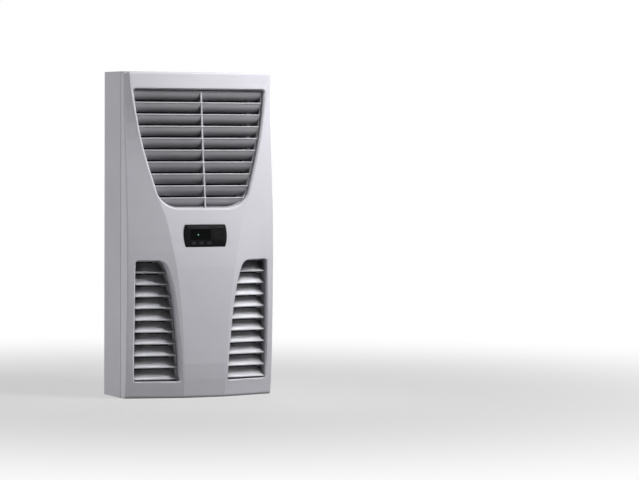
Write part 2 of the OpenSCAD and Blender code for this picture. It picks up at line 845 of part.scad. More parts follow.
// Condenser circuit behind the upper grille
cond_fan_d = wall_in_d + motor_standoff;
shroud_gap = 4;
shroud_d = cond_fan_d + wheel_w + shroud_gap;
shroud_t = 1.5;
inlet_tube_t = 1.4;
inlet_lap = 2;
inlet_flange_w = 8;
tube_pitch = 22;
tube_t = 2;
tube_run = 13;
header_wall = 0.5;
header_r = tube_run / 2 + header_wall;
fin_t = 0.6;
fin_pitch = 7;
fin_run = 18;
module fan_shroud() {
  color(steel_colour)
    difference() {
      block(-inner_x, inner_x, shroud_d, shroud_d + shroud_t, shroud_low_z, body_h - sheet_t);
      rod_y(0, cond_fan_z, shroud_d - over, shroud_d + shroud_t + over,
        wheel_inlet_r(cond_wheel_r) - wheel_inlet_gap);
    }
}
// Inlet ring with its flange at z = 0, reaching l along +Z
module inlet_ring(r, l) {
  ring(r - inlet_tube_t, r, l);
  ring(r - inlet_tube_t, r + inlet_flange_w, inlet_tube_t);
}
module condenser_inlet_ring() {
  color(black_colour)
    facing(shroud_d, cond_fan_z, -1)
      inlet_ring(wheel_inlet_r(cond_wheel_r) - wheel_inlet_gap,
        shroud_d - cond_fan_d - wheel_w + inlet_lap);
}
module condenser_wheel() {
  color(black_colour)
    facing(cond_fan_d, cond_fan_z, 1)
      fan_wheel(cond_wheel_r);
}
module condenser_motor() {
  color(alloy_colour)
    facing(cond_fan_d, cond_fan_z, 1)
      fan_motor();
}
// Finned coil between two upright headers at plus and minus x, at depth d
function tube_count(z0, z1) = floor((z1 - z0 - tube_pitch / 2) / tube_pitch);
function tube_z(z0, z1, k) = (z0 + z1) / 2 + (k - (tube_count(z0, z1) - 1) / 2) * tube_pitch;
module coil_tubes(x, d, z0, z1) {
  for (k = [0 : tube_count(z0, z1) - 1])
    block(-x, x, d - tube_run / 2, d + tube_run / 2,
      tube_z(z0, z1, k) - tube_t / 2, tube_z(z0, z1, k) + tube_t / 2);
}
module coil_fins(x, d, z0, z1) {
  difference() {
    for (k = [0 : floor(2 * x / fin_pitch) - 1])
      let (fx = -x + fin_pitch * (k + 1 / 2))
        block(fx - fin_t / 2, fx + fin_t / 2, d - fin_run / 2, d + fin_run / 2, z0, z1);
    coil_tubes(x + over, d, z0, z1);
  }
}
module coil_headers(x, d, z0, z1) {
  for (sx = [-x, x])
    difference() {
      rod_z(sx, d, z0, z1, header_r);
      coil_tubes(x, d, z0, z1);
    }
}
module condenser_tubes() {
  color(coil_colour)
    coil_tubes(cond_x, pipe_d, cond_low_z, cond_high_z);
}
module condenser_fins() {
  color(coil_colour)
    coil_fins(cond_x - header_r, pipe_d, cond_low_z, cond_high_z);
}
module condenser_headers() {
  color(alloy_colour)
    coil_headers(cond_x, pipe_d, cond_low_z, cond_high_z);
}
module condenser_brackets() {
  color(steel_colour)
    for (sx = [-cond_x, cond_x], z = [cond_low_z, cond_high_z - 2 * header_r])
      block(sx - header_r, sx + header_r, shroud_d + shroud_t, pipe_d - header_r, z, z + 2 * header_r);
}

// Evaporator circuit in its insulated housing behind the compressor
hous_in_d = hous_d - hous_wall;
evap_fan_d = hous_in_d - motor_standoff;
evap_d = 28;
pass_fit = 0.4;
module evaporator_housing() {
  color(foam_colour)
    difference() {
      block(-hous_x, hous_x, wall_in_d, hous_d, hous_low_z, hous_high_z);
      block(-hous_x + hous_wall, hous_x - hous_wall, wall_in_d - over, hous_in_d,
        hous_low_z + hous_wall, hous_high_z - hous_wall);
      rod_y(-feed_x, feed_z, hous_in_d - over, hous_d + over, pipe_r + pass_fit);
      rod_y(evap_x, suct_z, hous_in_d - over, hous_d + over, pipe_r + pass_fit);
      rod_z(0, drain_d, 0, hous_low_z + hous_wall + over, nipple_neck_r + pass_fit);
    }
}
module evaporator_inlet_ring() {
  color(black_colour)
    facing(wall_in_d, evap_fan_z, 1)
      inlet_ring(wheel_inlet_r(evap_wheel_r) - wheel_inlet_gap,
        evap_fan_d - wheel_w + inlet_lap - wall_in_d);
}
guard_t = 1.5;
guard_band = 1.8;
guard_rings = 3;
module evaporator_guard() {
  r = wheel_inlet_r(evap_wheel_r) - wheel_inlet_gap - inlet_tube_t;
  color(steel_colour)
    facing(wall_in_d, evap_fan_z, 1)
      union() {
        for (k = [1 : guard_rings])
          ring(r * k / guard_rings - guard_band, r * k / guard_rings, guard_t);
        for (a = [45, 135])
          rotate(a)
            translate([-r + guard_band / 2, -guard_band / 2, 0])
              cube([2 * r - guard_band, guard_band, guard_t]);
      }
}
module evaporator_wheel() {
  color(black_colour)
    facing(evap_fan_d, evap_fan_z, -1)
      fan_wheel(evap_wheel_r);
}
module evaporator_motor() {
  color(alloy_colour)
    facing(evap_fan_d, evap_fan_z, -1)
      fan_motor();
}
module evaporator_tubes() {
  color(alloy_colour)
    coil_tubes(evap_x, evap_d, evap_low_z, evap_high_z);
}
module evaporator_fins() {
  color(alloy_colour)
    coil_fins(evap_x - header_r, evap_d, evap_low_z, evap_high_z);
}
module evaporator_headers() {
  color(alloy_colour)
    coil_headers(evap_x, evap_d, evap_low_z, evap_high_z);
}
module evaporator_brackets() {
  color(steel_colour)
    for (sx = [-evap_x, evap_x])
      block(sx - header_r, sx + header_r, evap_d + header_r, hous_in_d,
        evap_low_z, evap_low_z + 2 * header_r);
}

// Condensate tray on the floor of the housing and its drain
tray_gap = 2;
tray_x = hous_x - hous_wall - tray_gap;
tray_wall = 1.5;
tray_h = 11;
nipple_r = 6;
nipple_l = 6.4;
nipple_neck_r = 5.5;
nipple_bore_r = 4;
nipple_low_z = 1.2;
nipple_flange_r = 9;
module condensate_tray() {
  z0 = hous_low_z + hous_wall;
  color(black_colour)
    difference() {
      block(-tray_x, tray_x, wall_in_d + tray_wall, hous_in_d, z0, z0 + tray_h);
      block(-tray_x + tray_wall, tray_x - tray_wall, wall_in_d + 2 * tray_wall, hous_in_d - tray_wall,
        z0 + tray_wall, z0 + tray_h + over);
      rod_z(0, drain_d, z0 - over, z0 + tray_wall + over, nipple_neck_r + pass_fit);
    }
}
module drain_nipple() {
  z0 = hous_low_z + hous_wall + tray_wall;
  color(black_colour)
    difference() {
      union() {
        rod_z(0, drain_d, nipple_low_z, nipple_low_z + nipple_l, nipple_r);
        rod_z(0, drain_d, nipple_low_z, z0 + tray_wall, nipple_neck_r);
        rod_z(0, drain_d, z0, z0 + tray_wall, nipple_flange_r);
      }
      rod_z(0, drain_d, 0, z0 + tray_wall + over, nipple_bore_r);
    }
}

// Compressor on its shelf, between the lower vents
comp_gap = 3.5;
comp_d = hous_d + comp_gap + comp_r;
shelf_margin = 4;
shelf_t = 2;
shelf_z = lip_w;
foot_t = 2.5;
foot_x = 27;
foot_run = 24;
grommet_h = 9;
grommet_r = 7;
bolt_r = 3;
bolt_head_r = 5;
bolt_head_h = 3.5;
shelf_x = foot_x + grommet_r + shelf_margin;
shelf_front_d = comp_d + foot_run + bolt_head_r;
comp_low_z = shelf_z + shelf_t + grommet_h;
comp_top_z = comp_low_z + comp_h;
dome_h = 14;
seam_band = 1.2;
seam_band_h = 5;
module four_feet() {
  for (sx = [-foot_x, foot_x], dd = [-foot_run, foot_run])
    translate([sx, -dd, 0])
      children();
}
module compressor() {
  color(black_colour)
    difference() {
      union() {
        translate([0, y_of(comp_d), comp_low_z])
          rotate_extrude()
            polygon(concat(
              [[0, 0], [comp_r - dome_h / 2, 0], [comp_r - seam_band, dome_h / 2]],
              [[comp_r - seam_band, comp_h * 0.2], [comp_r, comp_h * 0.2]],
              [[comp_r, comp_h * 0.2 + seam_band_h], [comp_r - seam_band, comp_h * 0.2 + seam_band_h]],
              [[comp_r - seam_band, comp_h * 0.8], [comp_r, comp_h * 0.8]],
              [[comp_r, comp_h * 0.8 + seam_band_h], [comp_r - seam_band, comp_h * 0.8 + seam_band_h]],
              [for (k = [0 : ctrl_steps]) let (a = 90 * k / ctrl_steps)
                [(comp_r - seam_band) * cos(a), comp_h - dome_h + dome_h * sin(a)]]));
        block(-foot_x - grommet_r, foot_x + grommet_r, comp_d - foot_run - grommet_r * 0.6,
          comp_d + foot_run + grommet_r * 0.6, comp_low_z, comp_low_z + foot_t);
      }
      four_feet()
        rod_z(0, comp_d, comp_low_z - over, comp_low_z + foot_t + over, bolt_r + stud_fit);
      four_feet()
        rod_z(0, comp_d, comp_low_z + foot_t, comp_low_z + dome_h + bolt_head_h, bolt_head_r + pass_fit);
    }
}
module compressor_grommets() {
  color(rubber_colour)
    four_feet()
      difference() {
        rod_z(0, comp_d, shelf_z + shelf_t, comp_low_z, grommet_r);
        rod_z(0, comp_d, shelf_z, comp_low_z + over, bolt_r + stud_fit);
      }
}
module compressor_bolts() {
  color(steel_colour)
    four_feet() {
      rod_z(0, comp_d, shelf_z, comp_low_z + foot_t, bolt_r);
      rod_z(0, comp_d, comp_low_z + foot_t, comp_low_z + foot_t + bolt_head_h, bolt_head_r);
    }
}
module compressor_shelf() {
  color(steel_colour)
    difference() {
      union() {
        block(-shelf_x, shelf_x, hous_d, shelf_front_d, shelf_z, shelf_z + shelf_t);
        for (sx = [-shelf_x, shelf_x - shelf_t])
          block(sx, sx + shelf_t, hous_d, seam_d - sheet_t - over, sheet_t, shelf_z + over);
        block(-shelf_x, shelf_x, hous_d, hous_d + shelf_t, sheet_t, shelf_z + over);
      }
      four_feet()
        rod_z(0, comp_d, shelf_z - over, shelf_z + shelf_t + over, bolt_r + stud_fit);
    }
}
term_w = 24;
term_run = 20;
term_h = 13;
module terminal_cover() {
  color(black_colour)
    difference() {
      block(-term_w / 2, term_w / 2, comp_d - term_run / 2, comp_d + term_run / 2,
        comp_top_z - dome_h / 2, comp_top_z + term_h);
      compressor();
    }
}

// Refrigerant pipes: straight runs joined by quarter bends
function cross_of(a, b) = [a[1] * b[2] - a[2] * b[1], a[2] * b[0] - a[0] * b[2], a[0] * b[1] - a[1] * b[0]];
function place_of(p) = [p[0], y_of(p[1]), p[2]];
function side_of(u) = abs(u[2]) > 1 / 2 ? [1, 0, 0] : [0, 0, 1];
module basis(x, y, z, o) {
  multmatrix([
    [x[0], y[0], z[0], o[0]],
    [x[1], y[1], z[1], o[1]],
    [x[2], y[2], z[2], o[2]],
    [0, 0, 0, 1]])
    children();
}
// The route is a list of [x, depth, z] corners, each run parallel to an axis
module pipe(route, r, bend) {
  p = [for (q = route) place_of(q)];
  last = len(p) - 1;
  for (i = [0 : last - 1]) {
    u = unit(p[i + 1] - p[i]);
    lead = i == 0 ? 0 : bend;
    tail = i == last - 1 ? 0 : bend;
    basis(side_of(u), cross_of(u, side_of(u)), u, p[i] + u * lead)
      cylinder(r = r, h = norm(p[i + 1] - p[i]) - lead - tail);
  }
  for (i = [1 : 1 : last - 1]) {
    u = unit(p[i] - p[i - 1]);
    v = unit(p[i + 1] - p[i]);
    basis(-v, u, cross_of(-v, u), p[i] + (v - u) * bend)
      rotate_extrude(angle = 90)
        translate([bend, 0])
          circle(r = r);
  }
}
run_x = 66;
cross_rise = 34;
cross_z = comp_top_z + cross_rise;
term_gap = 0.8;
discharge_x = term_w / 2 + term_gap + pipe_r;
drier_low_z = 110;
drier_high_z = 200;
acc_x = 54;
acc_r = 10;
acc_gap = 4;
acc_d = hous_d + acc_gap + acc_r;
acc_low_z = 72;
acc_head = 9;
acc_high_z = suct_z - bend_r - acc_head;
acc_foot = 5;
acc_out_z = acc_low_z - bend_r - acc_foot;
neck_r = 5;
module discharge_pipe() {
  color(copper_colour)
    difference() {
      pipe([[discharge_x, comp_d, comp_top_z - dome_h], [discharge_x, comp_d, cross_z],
        [discharge_x, pipe_d, cross_z], [run_x, pipe_d, cross_z], [run_x, pipe_d, turn_z],
        [cond_x, pipe_d, turn_z], [cond_x, pipe_d, cond_low_z]], pipe_r, bend_r);
      compressor();
    }
}
module liquid_pipe() {
  color(copper_colour)
    pipe([[-cond_x, pipe_d, cond_low_z], [-cond_x, pipe_d, turn_z], [-feed_x, pipe_d, turn_z],
      [-feed_x, pipe_d, drier_high_z]], pipe_r, bend_r);
}
module filter_drier() {
  color(copper_colour)
    union() {
      rod_z(-feed_x, pipe_d, drier_low_z, drier_high_z, neck_r);
      rod_z(-feed_x, pipe_d, drier_low_z + neck_r, drier_high_z - neck_r, drier_r);
    }
}
module expansion_valve() {
  color([0.80, 0.66, 0.35])
    union() {
      rod_z(-feed_x, pipe_d, valve_low_z, drier_low_z, neck_r);
      rod_z(-feed_x, pipe_d, valve_low_z + neck_r, valve_high_z, valve_r);
      rod_y(-feed_x, (valve_low_z + valve_high_z) / 2 + neck_r / 2, pipe_d, pipe_d + valve_r * 2, neck_r);
      rod_y(-feed_x, (valve_low_z + valve_high_z) / 2 + neck_r / 2, pipe_d + valve_r + neck_r,
        pipe_d + valve_r * 2, valve_r);
    }
}
module feed_pipe() {
  color(copper_colour)
    pipe([[-feed_x, pipe_d, valve_low_z], [-feed_x, pipe_d, feed_z], [-feed_x, evap_d, feed_z],
      [-evap_x, evap_d, feed_z], [-evap_x, evap_d, evap_low_z]], pipe_r, bend_r);
}
module suction_pipe() {
  color(copper_colour)
    pipe([[evap_x, evap_d, evap_high_z], [evap_x, evap_d, suct_z], [evap_x, acc_d, suct_z],
      [acc_x, acc_d, suct_z], [acc_x, acc_d, acc_high_z]], pipe_r, bend_r);
}
module suction_accumulator() {
  color(black_colour)
    union() {
      rod_z(acc_x, acc_d, acc_low_z, acc_high_z, neck_r);
      rod_z(acc_x, acc_d, acc_low_z + neck_r, acc_high_z - neck_r, acc_r);
    }
}
module return_pipe() {
  color(copper_colour)
    difference() {
      pipe([[acc_x, acc_d, acc_low_z], [acc_x, acc_d, acc_out_z], [0, acc_d, acc_out_z]], pipe_r, bend_r);
      compressor();
    }
}

// Electrical parts between housing and controller
box_x = 54;
box_rise = 19;
box_h = 50;
box_low_z = cross_z + box_rise;
box_high_z = box_low_z + box_h;
box_wall = 2;
lid_t = 2;
box_gap = 2.3;
box_front_d = ctrl_back_d - box_gap - lid_t;
post_r = 3;
post_h = 6;
cap_r = 11;
cap_l = 70;
module control_box() {
  color(black_colour)
    difference() {
      block(-box_x, box_x, hous_d, box_front_d, box_low_z, box_high_z);
      block(-box_x + box_wall, box_x - box_wall, hous_d + box_wall, box_front_d + over,
        box_low_z + box_wall, box_high_z - box_wall);
    }
}
module control_box_lid() {
  color(black_colour)
    block(-box_x, box_x, box_front_d, box_front_d + lid_t, box_low_z, box_high_z);
}
module power_board() {
  color(board_colour)
    union() {
      block(-box_x + 2 * box_wall, box_x - 2 * box_wall, hous_d + box_wall + post_h,
        hous_d + box_wall + post_h + board_t, box_low_z + 2 * box_wall, box_high_z - 2 * box_wall);
      for (sx = [-1, 1], z = [box_low_z + 4 * box_wall, box_high_z - 4 * box_wall])
        rod_y(sx * (box_x - 4 * box_wall), z, hous_d + box_wall,
          hous_d + box_wall + post_h + board_t / 2, post_r);
    }
}
module run_capacitor() {
  color(alloy_colour)
    translate([
      -cap_l / 2, y_of(hous_d + box_wall + post_h + board_t + cap_r), (box_low_z + box_high_z) / 2])
      rotate([0, 90, 0])
        cylinder(r = cap_r, h = cap_l);
}
conn_run = 16;
conn_wall = 2;
conn_fit = 0.3;
module connector() {
  color(black_colour)
    difference() {
      union() {
        block(conn_x - conn_w / 2 + conn_fit, conn_x + conn_w / 2 - conn_fit, gasket_t, gasket_t + conn_run,
          conn_z - conn_h / 2 + conn_fit, conn_z + conn_h / 2 - conn_fit);
        block(conn_x - conn_w / 2 - conn_wall, conn_x + conn_w / 2 + conn_wall,
          wall_in_d, wall_in_d + conn_wall,
          conn_z - conn_h / 2 - conn_wall, conn_z + conn_h / 2 + conn_wall);
      }
      block(conn_x - conn_w / 2 + conn_wall, conn_x + conn_w / 2 - conn_wall, gasket_t - over,
        gasket_t + conn_run - conn_wall, conn_z - conn_h / 2 + conn_wall, conn_z + conn_h / 2 - conn_wall);
    }
}

rear_chassis();
rear_gasket();
cover_seal();
front_cover();
cover_studs();
upper_grille();
left_vent();
right_vent();
controller_housing();
display_window();
status_led();
controller_board();
key_left();
key_middle();
key_right();
fan_shroud();
condenser_inlet_ring();
condenser_fins();
condenser_tubes();
condenser_headers();
condenser_brackets();
condenser_wheel();
condenser_motor();
evaporator_housing();
evaporator_inlet_ring();
evaporator_guard();
evaporator_fins();
evaporator_tubes();
evaporator_headers();
evaporator_brackets();
evaporator_wheel();
evaporator_motor();
condensate_tray();
drain_nipple();
compressor();
compressor_shelf();
compressor_grommets();
compressor_bolts();
terminal_cover();
suction_accumulator();
filter_drier();
expansion_valve();
discharge_pipe();
liquid_pipe();
feed_pipe();
suction_pipe();
return_pipe();
control_box();
control_box_lid();
power_board();
run_capacitor();
connector();
rivet_nuts();
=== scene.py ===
"""Looks of the enclosure cooling unit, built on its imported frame, in metres."""
import json
import math

import bmesh
import bpy
from mathutils import Matrix, Vector


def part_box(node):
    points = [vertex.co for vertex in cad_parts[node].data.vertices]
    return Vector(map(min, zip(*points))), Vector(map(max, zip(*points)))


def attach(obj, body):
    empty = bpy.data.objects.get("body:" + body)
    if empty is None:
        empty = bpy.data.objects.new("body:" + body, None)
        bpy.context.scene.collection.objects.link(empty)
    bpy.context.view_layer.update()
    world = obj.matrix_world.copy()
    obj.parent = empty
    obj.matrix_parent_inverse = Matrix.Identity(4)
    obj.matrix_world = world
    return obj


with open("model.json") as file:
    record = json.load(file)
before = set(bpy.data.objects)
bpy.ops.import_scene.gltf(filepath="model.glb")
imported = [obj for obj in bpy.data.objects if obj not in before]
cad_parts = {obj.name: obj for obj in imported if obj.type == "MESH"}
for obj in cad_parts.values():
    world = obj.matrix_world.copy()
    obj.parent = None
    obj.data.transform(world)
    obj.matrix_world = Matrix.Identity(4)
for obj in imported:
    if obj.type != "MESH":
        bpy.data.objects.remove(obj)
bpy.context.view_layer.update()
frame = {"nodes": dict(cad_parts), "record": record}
nodes = frame["nodes"]

MM = 0.001

# Nearly all values of a noise texture lie between these
NOISE_RANGE = (0.3, 0.7)


# Shader building

def shader_group(name, inputs, outputs):
    """An empty node group with named float or colour sockets."""
    group = bpy.data.node_groups.new(name, "ShaderNodeTree")
    for label, kind, value in inputs:
        socket = group.interface.new_socket(label, in_out="INPUT", socket_type=kind)
        socket.default_value = value
    for label, kind in outputs:
        group.interface.new_socket(label, in_out="OUTPUT", socket_type=kind)
    entry = group.nodes.new("NodeGroupInput")
    leave = group.nodes.new("NodeGroupOutput")
    return group, entry, leave


def add(tree, kind, **values):
    """A node with its plain settings and its named inputs set."""
    node = tree.nodes.new(kind)
    for key, value in values.items():
        if hasattr(node, key):
            setattr(node, key, value)
        else:
            node.inputs[key.replace("_", " ")].default_value = value
    return node


def maths(tree, operation, first, second=None, clamp=False):
    """One step of arithmetic on sockets and plain numbers."""
    node = tree.nodes.new("ShaderNodeMath")
    node.operation = operation
    node.use_clamp = clamp
    for slot, value in enumerate((first, second)):
        if value is None:
            continue
        if isinstance(value, bpy.types.NodeSocket):
            tree.links.new(value, node.inputs[slot])
        else:
            node.inputs[slot].default_value = value
    return node.outputs[0]


def blend_colour(tree, mask, first, second):
    """The first colour where the mask is 0, the second where it is 1."""
    node = tree.nodes.new("ShaderNodeMix")
    node.data_type = "RGBA"
    for label, value in (("Factor", mask), ("A", first), ("B", second)):
        socket = next(s for s in node.inputs if s.name == label and s.enabled)
        if isinstance(value, bpy.types.NodeSocket):
            tree.links.new(value, socket)
        elif label == "Factor":
            socket.default_value = value
        else:
            socket.default_value = (*value[:3], 1.0)
    return next(s for s in node.outputs if s.enabled)


def remap(tree, value, low, high, to_low, to_high, smooth=False):
    """A value carried from one range to another and held inside it."""
    node = tree.nodes.new("ShaderNodeMapRange")
    node.interpolation_type = "SMOOTHSTEP" if smooth else "LINEAR"
    tree.links.new(value, node.inputs["Value"])
    for label, number in (("From Min", low), ("From Max", high),
                          ("To Min", to_low), ("To Max", to_high)):
        if isinstance(number, bpy.types.NodeSocket):
            tree.links.new(number, node.inputs[label])
        else:
            node.inputs[label].default_value = number
    return node.outputs[0]


def place(tree):
    """Position on the unit in metres."""
    return tree.nodes.new("ShaderNodeTexCoord").outputs["Object"]


def noise_on(tree, scale, detail):
    """Cloudy noise fixed to the unit, so many features to the metre."""
    noise = add(tree, "ShaderNodeTexNoise", Scale=scale, Detail=detail)
    tree.links.new(place(tree), noise.inputs["Vector"])
    return noise.outputs[0]


# Shared effects

def make_mottle():
    """Slow, faint change of tone over a surface, as moulding flow or paint build."""
    group, entry, leave = shader_group(
        "mottle",
        [("Patch Size", "NodeSocketFloat", 0.05), ("Contrast", "NodeSocketFloat", 0.5)],
        [("Mask", "NodeSocketFloat")])
    scale = maths(group, "DIVIDE", 1.0, entry.outputs["Patch Size"])
    noise = add(group, "ShaderNodeTexNoise", Detail=5.0, Roughness=0.55)
    group.links.new(place(group), noise.inputs["Vector"])
    group.links.new(scale, noise.inputs["Scale"])
    spread = maths(group, "MULTIPLY", entry.outputs["Contrast"], 0.5)
    low = maths(group, "SUBTRACT", 0.5, spread)
    high = maths(group, "ADD", 0.5, spread)
    mask = remap(group, noise.outputs[0], *NOISE_RANGE, low, high)
    group.links.new(mask, leave.inputs["Mask"])
    return group


def make_grain():
    """Fine pebbled height of a spark-eroded mould or of powder paint."""
    group, entry, leave = shader_group(
        "grain",
        [("Grain Size", "NodeSocketFloat", 0.0006), ("Sharpness", "NodeSocketFloat", 0.5)],
        [("Height", "NodeSocketFloat")])
    scale = maths(group, "DIVIDE", 1.0, entry.outputs["Grain Size"])
    cells = add(group, "ShaderNodeTexVoronoi", feature="SMOOTH_F1")
    cells.inputs["Smoothness"].default_value = 0.6
    noise = add(group, "ShaderNodeTexNoise", Detail=3.0)
    where = place(group)
    for texture in (cells, noise):
        group.links.new(where, texture.inputs["Vector"])
        group.links.new(scale, texture.inputs["Scale"])
    rounded = maths(group, "MULTIPLY", cells.outputs["Distance"], entry.outputs["Sharpness"])
    height = maths(group, "ADD", rounded, noise.outputs[0])
    group.links.new(height, leave.inputs["Height"])
    return group


def make_streaks():
    """Long fine lines along one axis, as rolled or drawn metal shows."""
    group, entry, leave = shader_group(
        "streaks",
        [("Line Width", "NodeSocketFloat", 0.0004), ("Along X", "NodeSocketFloat", 1.0),
         ("Along Y", "NodeSocketFloat", 1.0), ("Along Z", "NodeSocketFloat", 0.02)],
        [("Mask", "NodeSocketFloat")])
    coords = group.nodes.new("ShaderNodeTexCoord")
    joined = group.nodes.new("ShaderNodeCombineXYZ")
    for slot, label in enumerate(("Along X", "Along Y", "Along Z")):
        group.links.new(entry.outputs[label], joined.inputs[slot])
    stretch = group.nodes.new("ShaderNodeVectorMath")
    stretch.operation = "MULTIPLY"
    group.links.new(coords.outputs["Object"], stretch.inputs[0])
    group.links.new(joined.outputs[0], stretch.inputs[1])
    scale = maths(group, "DIVIDE", 1.0, entry.outputs["Line Width"])
    noise = add(group, "ShaderNodeTexNoise", Detail=2.0)
    group.links.new(stretch.outputs[0], noise.inputs["Vector"])
    group.links.new(scale, noise.inputs["Scale"])
    mask = remap(group, noise.outputs[0], *NOISE_RANGE, to_low=0.0, to_high=1.0)
    group.links.new(mask, leave.inputs["Mask"])
    return group


def make_edge_rub():
    """Mask of the outer edges, broken up as handling rubs them."""
    group, entry, leave = shader_group(
        "edge_rub",
        [("Reach", "NodeSocketFloat", 0.0012), ("Amount", "NodeSocketFloat", 1.0)],
        [("Mask", "NodeSocketFloat")])
    rounded = group.nodes.new("ShaderNodeBevel")
    rounded.samples = 4
    group.links.new(entry.outputs["Reach"], rounded.inputs["Radius"])
    surface = group.nodes.new("ShaderNodeNewGeometry")
    turn = group.nodes.new("ShaderNodeVectorMath")
    turn.operation = "DOT_PRODUCT"
    group.links.new(rounded.outputs[0], turn.inputs[0])
    group.links.new(surface.outputs["Normal"], turn.inputs[1])
    edge = remap(group, turn.outputs["Value"], low=0.80, high=0.99,
                 to_low=1.0, to_high=0.0, smooth=True)
    clouds = noise_on(group, scale=180.0, detail=3.0)
    broken = remap(group, clouds, low=0.35, high=0.65, to_low=0.35, to_high=1.0)
    mask = maths(group, "MULTIPLY", edge, broken)
    mask = maths(group, "MULTIPLY", mask, entry.outputs["Amount"], clamp=True)
    group.links.new(mask, leave.inputs["Mask"])
    return group


def make_soft_edge():
    """Normal of edges that the mould or the folding tool leaves slightly round."""
    group, entry, leave = shader_group(
        "soft_edge", [("Radius", "NodeSocketFloat", 0.0006)], [("Normal", "NodeSocketVector")])
    rounded = group.nodes.new("ShaderNodeBevel")
    rounded.samples = 6
    group.links.new(entry.outputs["Radius"], rounded.inputs["Radius"])
    group.links.new(rounded.outputs[0], leave.inputs["Normal"])
    return group


def make_painted_crevice_shade():
    """Mask of painted shade: the sheltered places between slats and in wells, darkened as shadow would
    darken them.
    """
    group, entry, leave = shader_group(
        "painted_crevice_shade",
        [("Reach", "NodeSocketFloat", 0.015), ("Amount", "NodeSocketFloat", 0.5),
         ("Open", "NodeSocketFloat", 0.75)],
        [("Mask", "NodeSocketFloat")])
    shelter = group.nodes.new("ShaderNodeAmbientOcclusion")
    shelter.samples = 8
    group.links.new(entry.outputs["Reach"], shelter.inputs["Distance"])
    hidden = remap(group, shelter.outputs["AO"], low=0.15, high=entry.outputs["Open"],
                   to_low=1.0, to_high=0.0, smooth=True)
    clouds = noise_on(group, scale=90.0, detail=4.0)
    uneven = remap(group, clouds, *NOISE_RANGE, to_low=0.8, to_high=1.0)
    mask = maths(group, "MULTIPLY", hidden, uneven)
    mask = maths(group, "MULTIPLY", mask, entry.outputs["Amount"], clamp=True)
    group.links.new(mask, leave.inputs["Mask"])
    return group


def make_settled_dust():
    """Dust on what faces up, thicker in patches."""
    group, entry, leave = shader_group(
        "settled_dust",
        [("Amount", "NodeSocketFloat", 0.3)],
        [("Mask", "NodeSocketFloat")])
    surface = group.nodes.new("ShaderNodeNewGeometry")
    split = group.nodes.new("ShaderNodeSeparateXYZ")
    group.links.new(surface.outputs["Normal"], split.inputs[0])
    upward = remap(group, split.outputs["Z"], low=0.35, high=1.0,
                   to_low=0.0, to_high=1.0, smooth=True)
    clouds = noise_on(group, scale=60.0, detail=6.0)
    patches = remap(group, clouds, low=0.35, high=0.7, to_low=0.3, to_high=1.0)
    mask = maths(group, "MULTIPLY", upward, patches)
    mask = maths(group, "MULTIPLY", mask, entry.outputs["Amount"], clamp=True)
    group.links.new(mask, leave.inputs["Mask"])
    return group


EFFECTS = {
    "mottle": make_mottle(),
    "grain": make_grain(),
    "streaks": make_streaks(),
    "edge_rub": make_edge_rub(),
    "soft_edge": make_soft_edge(),
    "painted_crevice_shade": make_painted_crevice_shade(),
    "settled_dust": make_settled_dust(),
}


def effect(tree, name, **values):
    """One of the shared effects, with its named inputs set."""
    node = tree.nodes.new("ShaderNodeGroup")
    node.node_tree = EFFECTS[name]
    node.label = name
    for key, value in values.items():
        node.inputs[key.replace("_", " ")].default_value = value
    return node.outputs[0]


# Finishes

RUB_REACH = 1.2 * MM
DUST_COLOUR = (0.55, 0.54, 0.52)
TARNISH_COLOUR = (0.20, 0.10, 0.06)
# Shares of a metal's own colour in the dark and in the bright of its drawn lines
LINE_SHADES = (0.86, 1.1)
# What each effect adds to the roughness where it is strongest, and what rubbing takes off it
LINE_ROUGHNESS = 0.12
PAINTED_SHADE_ROUGHNESS = 0.2
DUST_ROUGHNESS = 0.25
RUB_POLISH = 0.08


